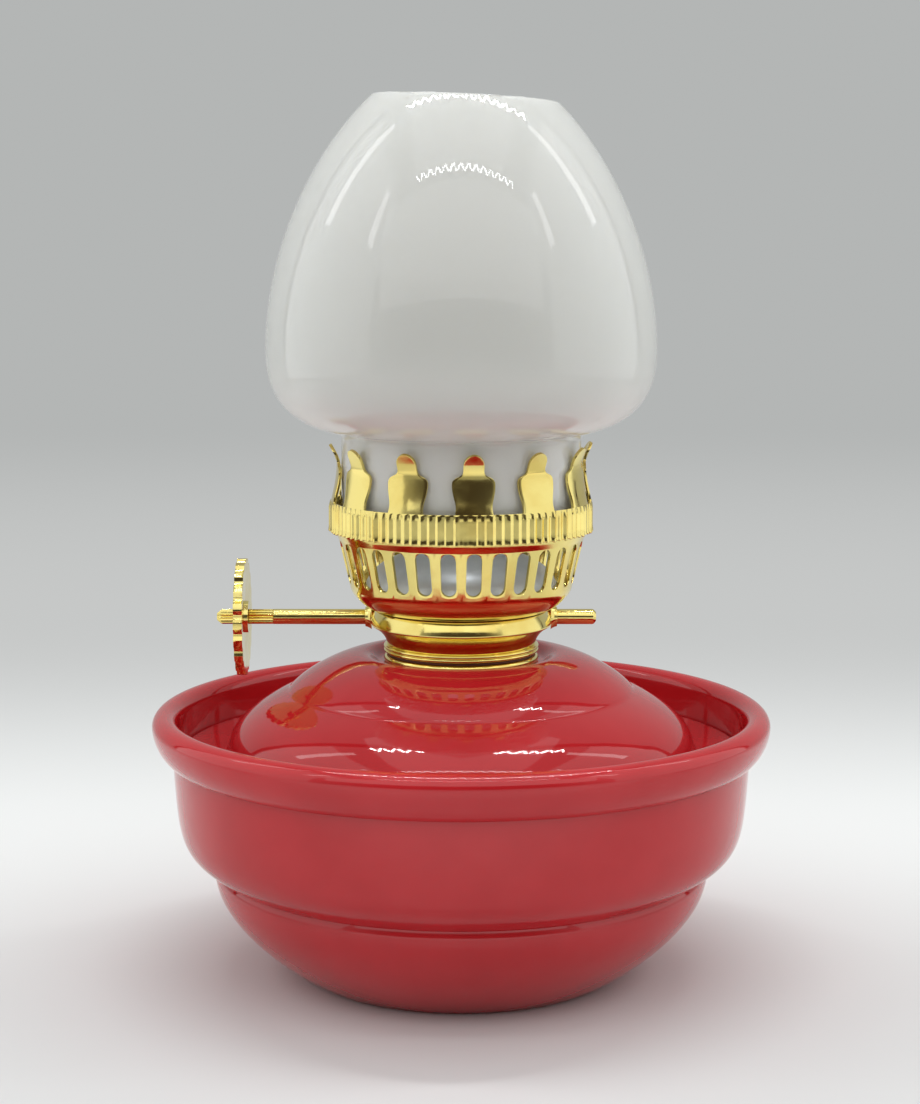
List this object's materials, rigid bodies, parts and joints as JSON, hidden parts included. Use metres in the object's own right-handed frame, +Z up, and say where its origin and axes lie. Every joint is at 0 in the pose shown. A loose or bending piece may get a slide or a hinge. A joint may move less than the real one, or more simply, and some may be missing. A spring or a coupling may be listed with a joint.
{
  "type": "table oil lamp",
  "caption": "Small table oil lamp: enamelled bowl with a domed oil tank, screw-in flat-wick burner with a winder and spring prongs, and an opal glass chimney that lifts off.",
  "frame": {"origin": "middle of the lamp's foot, on its axis, at table height", "axes": "+Z up along the lamp's axis; the winder shaft runs along X with its thumb wheel at -X; the wick's flat side faces -Y and the shaft is behind it at +Y"},
  "size_m": [0.104, 0.104, 0.1472],
  "materials": {
    "red_enamel": "glossy enamel",
    "brass_plate": "polished plate",
    "opal_glass": "glossy opal",
    "bright_steel": "satin",
    "wick_cotton": "woven",
    "washer_rubber": "matte"
  },
  "bodies": {
    "lamp_base": {"bowl": "red_enamel", "tank_dome": "red_enamel", "neck_collar": "brass_plate"},
    "washer": {"sealing_washer": "washer_rubber"},
    "burner": {"burner_skirt": "brass_plate", "burner_cup": "brass_plate", "shaft_bush_left": "brass_plate", "shaft_bush_right": "brass_plate", "air_basket": "brass_plate", "prong_crown": "brass_plate", "air_plate": "bright_steel", "flame_deflector": "bright_steel", "wick_tube": "brass_plate", "spur_cover": "brass_plate"},
    "winder": {"winder_shaft": "brass_plate", "spur_wheel_left": "bright_steel", "spur_wheel_right": "bright_steel", "thumb_wheel": "brass_plate"},
    "wick": {"wick": "wick_cotton"},
    "chimney": {"chimney": "opal_glass"}
  },
  "joints": [
    {"name": "burner_lift", "type": "slide", "parent": "lamp_base", "child": "washer", "axis": [0, 0, 1], "range_m": [0, 0.0061]},
    {"name": "burner_unscrew", "type": "hinge", "parent": "washer", "child": "burner", "pos_m": [0, 0, 0.0513], "axis": [0, 0, 1], "range_deg": [0, 1080]},
    {"name": "winder_turn", "type": "hinge", "parent": "burner", "child": "winder", "pos_m": [0, 0.004, 0.0598], "axis": [-1, 0, 0], "range_deg": [-126, 172]},
    {"name": "wick_slide", "type": "slide", "parent": "burner", "child": "wick", "axis": [0, 0, 1], "range_m": [-0.006, 0.008]},
    {"name": "chimney_lift", "type": "slide", "parent": "burner", "child": "chimney", "axis": [0, 0, 1], "range_m": [0, 0.04]}
  ],
  "couplings": [
    {"joint": "burner_lift", "follows": "burner_unscrew", "m_per_rad": 0.00031831},
    {"joint": "wick_slide", "follows": "winder_turn", "m_per_rad": 0.00265}
  ]
}
